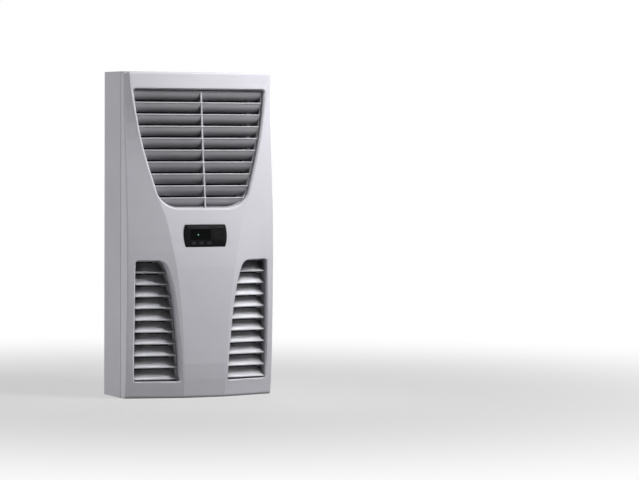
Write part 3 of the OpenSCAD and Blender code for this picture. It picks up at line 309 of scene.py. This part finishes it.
def finish_of(name, colour, rough, metallic=0.0, tone=0.05, patch=0.06, grain=0.0006, relief=0.05,
              sharpness=0.5, rub=0.0, rub_colour=None, dust=0.0, streak=None, coat=0.0, specular=0.5,
              edge=0.0, painted_shade=0.0, painted_shade_reach=0.015, painted_shade_open=0.75, painted_shade_depth=0.25):
    """A Principled surface whose tone, gloss and relief come from the shared effects.

    Lengths (patch, grain, edge and painted_shade_reach) are in metres. Amounts run from 0 to 1.
    """
    material = bpy.data.materials.new(name)
    material.use_nodes = True
    material.diffuse_color = (*colour, 1.0)
    tree = material.node_tree
    shader = tree.nodes["Principled BSDF"]
    shader.inputs["Metallic"].default_value = metallic
    shader.inputs["Specular IOR Level"].default_value = specular
    if coat:
        shader.inputs["Coat Weight"].default_value = coat
        shader.inputs["Coat Roughness"].default_value = 0.08
    light = [min(1.0, c * (1 + tone)) for c in colour]
    dark = [c * (1 - tone) for c in colour]
    mask = effect(tree, "mottle", Patch_Size=patch, Contrast=1.0)
    shade = blend_colour(tree, mask, dark, light)
    gloss = remap(tree, mask, low=0.0, high=1.0, to_low=rough * 1.12, to_high=rough * 0.9)
    height = effect(tree, "grain", Grain_Size=grain, Sharpness=sharpness)
    if streak:
        lines = effect(tree, "streaks", Line_Width=streak[0], Along_X=streak[1], Along_Y=streak[2],
                       Along_Z=streak[3])
        drawn = blend_colour(tree, lines, [c * LINE_SHADES[0] for c in colour],
                             [min(1.0, c * LINE_SHADES[1]) for c in colour])
        shade = blend_colour(tree, 0.6, shade, drawn)
        gloss = maths(tree, "ADD", gloss, maths(tree, "MULTIPLY", lines, LINE_ROUGHNESS))
        height = maths(tree, "ADD", maths(tree, "MULTIPLY", height, 0.3), lines)
    # Painted shade: where the sheltered mask is high, the colour is pulled down towards a small share of
    # itself, as shadow in slats, wells and recesses.
    if painted_shade:
        crevice_shade = effect(tree, "painted_crevice_shade", Reach=painted_shade_reach, Amount=painted_shade, Open=painted_shade_open)
        shade = blend_colour(tree, crevice_shade, shade, [c * painted_shade_depth for c in colour])
        gloss = maths(tree, "ADD", gloss, maths(tree, "MULTIPLY", crevice_shade, PAINTED_SHADE_ROUGHNESS))
    if rub:
        worn = effect(tree, "edge_rub", Reach=RUB_REACH, Amount=rub)
        bright = rub_colour or [min(1.0, c * 1.25 + 0.02) for c in colour]
        shade = blend_colour(tree, worn, shade, bright)
        gloss = maths(tree, "SUBTRACT", gloss, maths(tree, "MULTIPLY", worn, RUB_POLISH))
    if dust:
        settled = effect(tree, "settled_dust", Amount=dust)
        shade = blend_colour(tree, settled, shade, DUST_COLOUR)
        gloss = maths(tree, "ADD", gloss, maths(tree, "MULTIPLY", settled, DUST_ROUGHNESS))
    bump = add(tree, "ShaderNodeBump", Strength=relief, Distance=grain)
    if edge:
        tree.links.new(effect(tree, "soft_edge", Radius=edge), bump.inputs["Normal"])
    tree.links.new(height, bump.inputs["Height"])
    tree.links.new(shade, shader.inputs["Base Color"])
    tree.links.new(gloss, shader.inputs["Roughness"])
    tree.links.new(bump.outputs[0], shader.inputs["Normal"])
    return material


def workings(material):
    """Tree and shader of a finish, and the sockets that feed its colour and roughness."""
    tree = material.node_tree
    shader = tree.nodes["Principled BSDF"]
    under = shader.inputs["Base Color"].links[0].from_socket
    gloss = shader.inputs["Roughness"].links[0].from_socket
    return tree, shader, under, gloss


def zinc_spangle(name, colour):
    """Galvanised sheet with its crystal spangle."""
    material = finish_of(name, colour, 0.34, metallic=1.0, tone=0.08, patch=0.03, grain=0.0009,
                         relief=0.05, rub=0.4, dust=0.15)
    tree, shader, under, gloss = workings(material)
    crystals = add(tree, "ShaderNodeTexVoronoi", Scale=140.0)
    tree.links.new(place(tree), crystals.inputs["Vector"])
    split = tree.nodes.new("ShaderNodeSeparateColor")
    tree.links.new(crystals.outputs["Color"], split.inputs[0])
    tone = split.outputs[0]
    shade = blend_colour(tree, maths(tree, "MULTIPLY", tone, 0.5), under, [c * 0.72 for c in colour])
    tree.links.new(shade, shader.inputs["Base Color"])
    duller = maths(tree, "ADD", gloss, maths(tree, "MULTIPLY", tone, 0.16))
    tree.links.new(duller, shader.inputs["Roughness"])
    return material


def moulded_foam(name, colour):
    """Expanded foam with its pressed beads."""
    material = finish_of(name, colour, 0.75, tone=0.03, patch=0.04, grain=0.0008, relief=0.2)
    tree, shader, under = workings(material)[:3]
    beads = add(tree, "ShaderNodeTexVoronoi", feature="DISTANCE_TO_EDGE", Scale=260.0)
    tree.links.new(place(tree), beads.inputs["Vector"])
    seam = remap(tree, beads.outputs["Distance"], low=0.0, high=0.12,
                 to_low=0.0, to_high=1.0, smooth=True)
    shade = blend_colour(tree, seam, [c * 0.8 for c in colour], under)
    tree.links.new(shade, shader.inputs["Base Color"])
    bump = shader.inputs["Normal"].links[0].from_node
    pressed = add(tree, "ShaderNodeBump", Strength=0.35, Distance=0.0006)
    tree.links.new(seam, pressed.inputs["Height"])
    tree.links.new(bump.outputs[0], pressed.inputs["Normal"])
    tree.links.new(pressed.outputs[0], shader.inputs["Normal"])
    return material


def open_foam(name, colour):
    """Soft black sealing foam with fine open cells."""
    return finish_of(name, colour, 0.9, tone=0.15, patch=0.02, grain=0.0011, relief=0.6, sharpness=1.6)


def aged_copper(name, colour):
    """Drawn copper tube, tarnished in clouds."""
    material = finish_of(name, colour, 0.3, metallic=1.0, tone=0.1, patch=0.02, grain=0.0007,
                         relief=0.04, dust=0.1)
    tree, shader, under, gloss = workings(material)
    cloud = effect(tree, "mottle", Patch_Size=0.035, Contrast=1.6)
    tarnish = remap(tree, cloud, low=0.45, high=0.9, to_low=0.0, to_high=0.75, smooth=True)
    shade = blend_colour(tree, tarnish, under, TARNISH_COLOUR)
    tree.links.new(shade, shader.inputs["Base Color"])
    duller = maths(tree, "ADD", gloss, maths(tree, "MULTIPLY", tarnish, 0.25))
    tree.links.new(duller, shader.inputs["Roughness"])
    return material


def board_laminate(name, colour):
    """Green board with lighter tracks under the lacquer."""
    material = finish_of(name, colour, 0.35, tone=0.06, patch=0.02, grain=0.0005, relief=0.03, coat=0.4)
    tree, shader, under = workings(material)[:3]
    tracks = add(tree, "ShaderNodeTexBrick", Scale=160.0, Mortar_Size=0.12)
    tree.links.new(place(tree), tracks.inputs["Vector"])
    shade = blend_colour(tree, maths(tree, "MULTIPLY", tracks.outputs["Fac"], 0.5), under,
                         [min(1.0, c * 1.7) for c in colour])
    tree.links.new(shade, shader.inputs["Base Color"])
    return material


def lit_lens(name, colour, strength):
    """Small lamp under a clear lens, brightest in its middle."""
    material = bpy.data.materials.new(name)
    material.use_nodes = True
    tree = material.node_tree
    shader = tree.nodes["Principled BSDF"]
    facing = tree.nodes.new("ShaderNodeLayerWeight")
    facing.inputs["Blend"].default_value = 0.3
    shade = blend_colour(tree, facing.outputs["Facing"], colour, [c * 0.35 for c in colour])
    tree.links.new(shade, shader.inputs["Base Color"])
    tree.links.new(shade, shader.inputs["Emission Color"])
    shader.inputs["Emission Strength"].default_value = strength
    shader.inputs["Roughness"].default_value = 0.15
    return material


COVER_GREY = (0.585, 0.58, 0.625)
CHASSIS_GREY = (0.53, 0.525, 0.565)

# The cover's wells and recesses get a light painted shade.
cover_finish = finish_of("cover_moulded_grey", COVER_GREY, 0.42, tone=0.02, patch=0.09, grain=0.0005,
                         relief=0.10, sharpness=0.6, rub=0.25, rub_colour=(0.66, 0.655, 0.70),
                         edge=0.0009, painted_shade=0.35, painted_shade_reach=0.01, specular=0.2)
# The grille's grey is darker than the cover's, as painted shade on its slats, and its sheltered parts
# get a strong painted shade.
grille_grey_shaded = finish_of("grille_grey_painted_shade", (0.46, 0.455, 0.485), 0.38, tone=0.02, patch=0.05,
                          grain=0.0004, relief=0.06, rub=1.0, rub_colour=(0.86, 0.855, 0.89),
                          edge=0.0005, painted_shade=0.85, specular=0.25)
# The vents' grey is lighter than the cover's, as painted light on the lit parts of their slats, and
# their sheltered parts are darkened almost to black, as painted shade.
vent_grey_lit_and_shaded = finish_of("vent_grey_painted_light_and_shade", (0.70, 0.70, 0.735), 0.4, tone=0.02, patch=0.05,
                        grain=0.0004, relief=0.06, rub=0.4, rub_colour=(0.76, 0.76, 0.79),
                        edge=0.0005, specular=0.08,
                        painted_shade=1.0, painted_shade_reach=0.02, painted_shade_open=0.92, painted_shade_depth=0.03)
chassis_finish = finish_of("chassis_powder_paint", CHASSIS_GREY, 0.46, tone=0.025, patch=0.12,
                           grain=0.0011, relief=0.16, sharpness=0.9, rub=0.3,
                           rub_colour=(0.64, 0.635, 0.68), dust=0.05, specular=0.2, edge=0.0009)
# Black foam of the seals; in the seam between chassis and cover its black also stands in for the shadow
# in that gap.
seal_black_and_seam_shade = open_foam("seal_foam_black_and_seam_shade", (0.03, 0.03, 0.031))
controller_finish = finish_of("controller_black", (0.006, 0.006, 0.007), 0.36, tone=0.12, patch=0.02,
                              grain=0.0004, relief=0.08, rub=0.25, rub_colour=(0.02, 0.02, 0.023),
                              specular=0.1, edge=0.0006)
window_finish = finish_of("window_black_gloss", (0.001, 0.0015, 0.0015), 0.06, tone=0.1, patch=0.02,
                          grain=0.002, relief=0.004, specular=0.07)
lamp_finish = lit_lens("lamp_green", (0.13, 0.30, 0.21), 0.35)
plate_finish = finish_of("controller_plate_grey", (0.011, 0.011, 0.011), 0.5, tone=0.1, patch=0.01,
                         grain=0.0003, relief=0.06, specular=0.1)
key_finish = finish_of("key_rubber", (0.016, 0.016, 0.018), 0.6, tone=0.12, patch=0.01, grain=0.0004,
                       relief=0.12, rub=0.3, rub_colour=(0.05, 0.05, 0.055), specular=0.3, edge=0.0004)
board_finish = board_laminate("board_green", (0.02, 0.12, 0.05))
zinc_finish = zinc_spangle("zinc_sheet", (0.55, 0.56, 0.58))
fixing_finish = finish_of("zinc_fixing", (0.48, 0.48, 0.49), 0.38, metallic=1.0, tone=0.1, patch=0.004,
                          grain=0.0004, relief=0.05, rub=0.5)
data_plate_finish = finish_of("data_plate_satin", (0.72, 0.72, 0.73), 0.5, tone=0.03, patch=0.02,
                              grain=0.0006, relief=0.05, rub=0.3, specular=0.3)
fin_finish = finish_of("fin_alloy", (0.68, 0.69, 0.70), 0.36, metallic=1.0, tone=0.08, patch=0.01,
                       grain=0.0005, relief=0.06, dust=0.25, streak=(0.0006, 1.0, 1.0, 0.03))
motor_finish = finish_of("motor_cast_alloy", (0.48, 0.49, 0.50), 0.5, metallic=1.0, tone=0.08,
                         patch=0.012, grain=0.0012, relief=0.3, sharpness=1.0, dust=0.2)
wheel_finish = finish_of("wheel_black", (0.018, 0.018, 0.02), 0.45, tone=0.15, patch=0.02, grain=0.0005,
                         relief=0.08, dust=0.3)
# Black coat on the condenser's fins and tubes; its black also stands in for the shade seen behind the
# grille.
coil_black_and_shade = finish_of("coil_black_coat_and_shade", (0.02, 0.02, 0.022), 0.5, tone=0.2, patch=0.02, grain=0.0007,
                        relief=0.15, sharpness=0.8, dust=0.3, rub=0.2, rub_colour=(0.07, 0.07, 0.075))
housing_finish = moulded_foam("housing_foam", (0.045, 0.045, 0.048))
tray_finish = finish_of("tray_black", (0.025, 0.025, 0.027), 0.4, tone=0.12, patch=0.03, grain=0.0006,
                        relief=0.1, dust=0.2)
enamel_finish = finish_of("compressor_enamel", (0.012, 0.012, 0.013), 0.25, tone=0.12, patch=0.02,
                          grain=0.0018, relief=0.12, sharpness=0.9, coat=0.5, dust=0.2)
# Copper and brass are given dark colours, darker than the bare metals, as painted shade on the pipes and
# valves seen through the vents' slits; the copper's tarnish clouds are its own.
copper_dark_as_shade = aged_copper("copper_tube", (0.17, 0.095, 0.065))
brass_dark_as_shade = finish_of("valve_brass", (0.26, 0.21, 0.13), 0.38, metallic=1.0, tone=0.08, patch=0.01,
                         grain=0.0004, relief=0.05, streak=(0.0005, 0.03, 1.0, 1.0))

FINISH_OF_SLOT = {
    "cover_finish": cover_finish, "chassis_paint": chassis_finish, "seal_foam": seal_black_and_seam_shade,
    "controller_plastic": controller_finish, "display_glass": window_finish, "lamp_lens": lamp_finish,
    "key_rubber": key_finish, "board_laminate": board_finish, "zinc_sheet": zinc_finish,
    "zinc_fixing": fixing_finish, "coil_coat": coil_black_and_shade, "fin_alloy": fin_finish,
    "motor_alloy": motor_finish, "wheel_plastic": wheel_finish, "foam_housing": housing_finish,
    "tray_plastic": tray_finish, "compressor_paint": enamel_finish, "copper_tube": copper_dark_as_shade,
    "valve_brass": brass_dark_as_shade,
}
slot_of = {part["node"]: part["material_slot"] for part in frame["record"]["subparts"]}
for name, node in nodes.items():
    node.data.materials.clear()
    node.data.materials.append(FINISH_OF_SLOT[slot_of[name]])
nodes["upper_grille"].data.materials[0] = grille_grey_shaded
for name in ("left_vent", "right_vent"):
    nodes[name].data.materials[0] = vent_grey_lit_and_shaded


# Bare plates and screw heads

def rounded_rectangle(width, height, radius, steps=5):
    """Corner points of a rectangle with round corners, anticlockwise."""
    points = []
    for sx, sz, start in ((1, -1, -90), (1, 1, 0), (-1, 1, 90), (-1, -1, 180)):
        for k in range(steps + 1):
            a = math.radians(start + 90 * k / steps)
            points.append((sx * (width / 2 - radius) + radius * math.cos(a),
                           sz * (height / 2 - radius) + radius * math.sin(a)))
    return points


def thin_plate(name, middle, width, height, radius, thickness, material, body, facing=-1):
    """Thin plate that faces the front (-1) or the back (1), with round corners and a small chamfer."""
    chamfer = thickness * 0.4
    rings = []
    for back, inset in ((0.0, 0.0), (thickness - chamfer, 0.0), (thickness, chamfer)):
        outline = rounded_rectangle(width - 2 * inset, height - 2 * inset, radius - inset)
        rings.append([(middle[0] + x, middle[1] + facing * back, middle[2] + z) for x, z in outline])
    return ringed_piece(name, rings, material, body)


def ringed_piece(name, rings, material, body):
    """Closed solid through rings of points, riding on a body."""
    count = len(rings[0])
    points = [p for ring in rings for p in ring]
    last = (len(rings) - 1) * count
    faces = [list(range(count)), list(reversed(range(last, last + count)))]
    for level in range(len(rings) - 1):
        for k in range(count):
            n = (k + 1) % count
            faces.append([level * count + n, level * count + k,
                          (level + 1) * count + k, (level + 1) * count + n])
    mesh = bpy.data.meshes.new(name)
    mesh.from_pydata(points, [], faces)
    mesh.update()
    bm = bmesh.new()
    bm.from_mesh(mesh)
    bmesh.ops.recalc_face_normals(bm, faces=bm.faces)
    bm.to_mesh(mesh)
    bm.free()
    piece = bpy.data.objects.new(name, mesh)
    bpy.context.scene.collection.objects.link(piece)
    mesh.materials.append(material)
    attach(piece, body)
    return piece


# Rings of a screw head in mm: radius, height above the sheet and depth of its six lobes
SCREW_PROFILE = ((3.0, 0.0, 0.0), (3.0, 0.45, 0.0), (2.75, 0.85, 0.0), (2.2, 1.15, 0.0), (1.5, 1.3, 0.0),
                 (1.25, 1.25, 0.22), (1.15, 0.35, 0.22))


def pan_head_screw(name, x, y, z, turn, material, body, steps=36):
    """Low round screw head that faces the back, with a six-lobed recess."""
    rings = []
    for radius, proud, lobe in SCREW_PROFILE:
        ring = []
        for k in range(steps):
            a = 2 * math.pi * k / steps
            r = (radius + lobe * math.cos(6 * a)) * MM
            ring.append((x + r * math.cos(a + turn), y + proud * MM, z + r * math.sin(a + turn)))
        rings.append(ring)
    return ringed_piece(name, rings, material, body)


# Middles of the two plates across the unit, and the data plate's height above the base
BLANK_PLATE_X = 22.6 * MM
DATA_PLATE_X = 52 * MM
DATA_PLATE_HEIGHT = 440 * MM

housing_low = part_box("controller_housing")[0]
window_low, window_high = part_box("display_window")
blank_middle = (BLANK_PLATE_X, housing_low[1], (window_low[2] + window_high[2]) / 2)
thin_plate("controller_blank_plate", blank_middle, width=21.8 * MM, height=16.4 * MM, radius=1.2 * MM,
           thickness=0.25 * MM, material=plate_finish, body="root")

rear_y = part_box("rear_chassis")[1][1]
thin_plate("blank_data_plate", (DATA_PLATE_X, rear_y, DATA_PLATE_HEIGHT), width=76 * MM,
           height=44 * MM, radius=3 * MM, thickness=0.4 * MM, material=data_plate_finish,
           body="root", facing=1)

SCREW_X = 108.5 * MM
SCREW_HEIGHTS = (128 * MM, 345 * MM, 452 * MM)
for row, height in enumerate(SCREW_HEIGHTS):
    for side, label in ((-1, "left"), (1, "right")):
        turn = 0.7 * row + 0.4 * side
        pan_head_screw(f"rear_screw_{row}_{label}", side * SCREW_X, rear_y, height, turn,
                       fixing_finish, "root")


# Floor, light and camera

FLOOR_SIZE = 14.0
FLOOR_COLOUR = (0.3, 0.3, 0.3, 1)
# Distances from the unit, in metres, between which the floor turns white, and its share of white at each
FADE_FROM_TO = (0.35, 1.5)
FADE_WHITE = (0.55, 1.0)
# Strength of the white room in reflections, where 1 is the background itself
WORLD_GLOSS = 0.7
SENSOR_WIDTH = 36.0


def make_floor():
    """Pale floor that fades into the white background and keeps the shadow."""
    bpy.ops.mesh.primitive_plane_add(size=FLOOR_SIZE, location=(0, 0, 0))
    floor = bpy.context.object
    floor.name = "studio_floor"
    material = bpy.data.materials.new("floor_pale")
    material.use_nodes = True
    tree = material.node_tree
    shader = tree.nodes["Principled BSDF"]
    shader.inputs["Base Color"].default_value = FLOOR_COLOUR
    shader.inputs["Roughness"].default_value = 0.9
    shader.inputs["Specular IOR Level"].default_value = 0.2
    white = add(tree, "ShaderNodeEmission", Color=(1, 1, 1, 1), Strength=1.0)
    where = add(tree, "ShaderNodeTexCoord")
    length = tree.nodes.new("ShaderNodeVectorMath")
    length.operation = "LENGTH"
    tree.links.new(where.outputs["Object"], length.inputs[0])
    far = remap(tree, length.outputs["Value"], *FADE_FROM_TO, *FADE_WHITE, smooth=True)
    path = tree.nodes.new("ShaderNodeLightPath")
    seen = maths(tree, "MAXIMUM", path.outputs["Is Camera Ray"], path.outputs["Is Glossy Ray"])
    seen = maths(tree, "MAXIMUM", seen, path.outputs["Is Transmission Ray"])
    mix = tree.nodes.new("ShaderNodeMixShader")
    tree.links.new(maths(tree, "MULTIPLY", far, seen), mix.inputs[0])
    tree.links.new(shader.outputs[0], mix.inputs[1])
    tree.links.new(white.outputs[0], mix.inputs[2])
    tree.links.new(mix.outputs[0], tree.nodes["Material Output"].inputs["Surface"])
    floor.data.materials.append(material)


def make_world(ambient):
    """White background, with a weaker even light on the object."""
    world = bpy.data.worlds.new("studio")
    world.use_nodes = True
    tree = world.node_tree
    background = tree.nodes["Background"]
    background.inputs["Color"].default_value = (1, 1, 1, 1)
    path = tree.nodes.new("ShaderNodeLightPath")
    seen = maths(tree, "MAXIMUM", path.outputs["Is Camera Ray"], path.outputs["Is Transmission Ray"])
    gloss = maths(tree, "MULTIPLY", path.outputs["Is Glossy Ray"], WORLD_GLOSS)
    seen = maths(tree, "MAXIMUM", seen, gloss)
    strength = remap(tree, seen, low=0.0, high=1.0, to_low=ambient, to_high=1.0)
    tree.links.new(strength, background.inputs["Strength"])
    bpy.context.scene.world = world


def soft_lamp(name, where, target, size, power, spread=180):
    """Soft box that looks at a point, with a grid that narrows its throw to so many degrees."""
    data = bpy.data.lights.new(name, "AREA")
    data.shape = "RECTANGLE"
    data.size, data.size_y = size
    data.energy = power
    data.spread = math.radians(spread)
    lamp = bpy.data.objects.new(name, data)
    lamp.location = where
    lamp.rotation_euler = (Vector(target) - Vector(where)).to_track_quat("-Z", "Y").to_euler()
    bpy.context.scene.collection.objects.link(lamp)
    return lamp


def make_camera():
    """The photograph's view: seen from the front left, a little above the middle."""
    focal_px, frame_px = 2910.47, 639
    yaw, pitch, roll = (math.radians(a) for a in (24.806, 2.1375, 0.2537))
    stand = (-1.88362, -4.59812, 0.45062)
    right, ahead = Vector((1, 0, 0)), Vector((0, math.cos(pitch), -math.sin(pitch)))
    above = Vector((0, math.sin(pitch), math.cos(pitch)))
    level = Matrix((math.cos(roll) * right + math.sin(roll) * above,
                    -math.sin(roll) * right + math.cos(roll) * above, -ahead)).transposed()
    turned = Matrix.Rotation(-yaw, 3, "Z") @ level
    data = bpy.data.cameras.new("photo_view")
    data.sensor_fit = "HORIZONTAL"
    data.sensor_width = SENSOR_WIDTH
    data.lens = focal_px / frame_px * SENSOR_WIDTH
    data.clip_end = 50.0
    camera = bpy.data.objects.new("photo_view", data)
    camera.matrix_world = Matrix.Translation(stand) @ turned.to_4x4()
    bpy.context.scene.collection.objects.link(camera)
    bpy.context.scene.camera = camera


make_floor()
make_world(ambient=0.04)
# The key lamp is kept out of reflections, so that it puts no glare on the top face
top_lamp = soft_lamp("top_right_soft_box", (0.39, -0.52, 1.06), (0, 0, 0.42),
                     size=(0.4, 0.28), power=10.7)
top_lamp.visible_glossy = False
soft_lamp("front_right_soft_box", (0.75, -1.1, 1.1), (0, 0, 0.08),
          size=(0.2, 0.2), power=0.33, spread=34)
soft_lamp("back_soft_box", (0.9, 1.7, 0.3), (0, 0, 0.3),
          size=(0.8, 0.4), power=8.0)
soft_lamp("left_soft_box", (-1.95, 0.25, 0.36), (0, 0, 0.36),
          size=(0.9, 0.4), power=17.0)
make_camera()

bpy.context.scene.view_settings.view_transform = "Standard"
